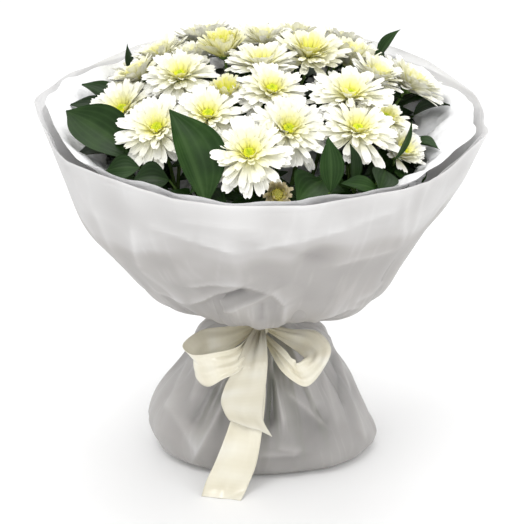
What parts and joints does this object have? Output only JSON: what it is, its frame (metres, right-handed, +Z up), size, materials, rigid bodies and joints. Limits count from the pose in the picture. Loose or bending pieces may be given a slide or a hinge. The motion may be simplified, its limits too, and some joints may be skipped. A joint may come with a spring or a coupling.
{
  "type": "wrapped chrysanthemum bouquet",
  "caption": "Hand-tied bouquet of white spray chrysanthemums and green leaves in tissue and frosted film, tied at the neck with a satin bow; stands upright on its puffed film foot.",
  "frame": {"origin": "middle of the flat underside of the film foot, on the surface that the bouquet stands on", "axes": "+Z up, -Y towards the front, where the bow is, +X to the right seen from the front"},
  "size_m": [0.401, 0.3727, 0.3905],
  "materials": {
    "film": "frosted translucent film, softly glossy",
    "tissue": "white crinkled tissue",
    "ribbon": "cream satin",
    "twine": "natural twine",
    "stem": "smooth ribbed green stem",
    "leaf": "dark green, satin",
    "petal": "creamy white, greenish yellow towards the eye"
  },
  "bodies": {
    "root": {"film_inner": "film", "film_outer": "film", "flower_01": "petal", "flower_02": "petal", "flower_03": "petal", "flower_04": "petal", "flower_05": "petal", "flower_06": "petal", "flower_07": "petal", "flower_08": "petal", "flower_09": "petal", "flower_10": "petal", "flower_11": "petal", "flower_12": "petal", "flower_13": "petal", "flower_14": "petal", "flower_15": "petal", "flower_16": "petal", "flower_17": "petal", "flower_18": "petal", "flower_19": "petal", "flower_20": "petal", "flower_21": "petal", "flower_22": "petal", "flower_23": "petal", "flower_24": "petal", "flower_25": "petal", "flower_26": "petal", "flower_27": "petal", "flower_28": "petal", "flower_29": "petal", "flower_30": "petal", "flower_31": "petal", "flower_32": "petal", "flower_33": "petal", "leafy_stem_01": "leaf", "leafy_stem_02": "leaf", "leafy_stem_03": "leaf", "leafy_stem_04": "leaf", "leafy_stem_05": "leaf", "leafy_stem_06": "leaf", "leafy_stem_07": "leaf", "leafy_stem_08": "leaf", "leafy_stem_09": "leaf", "leafy_stem_10": "leaf", "ribbon": "ribbon", "spray_stem_1": "stem", "spray_stem_2": "stem", "spray_stem_3": "stem", "spray_stem_4": "stem", "spray_stem_5": "stem", "spray_stem_6": "stem", "spray_stem_7": "stem", "spray_stem_8": "stem", "stem_tie": "twine", "tissue": "tissue"}
  },
  "joints": []
}
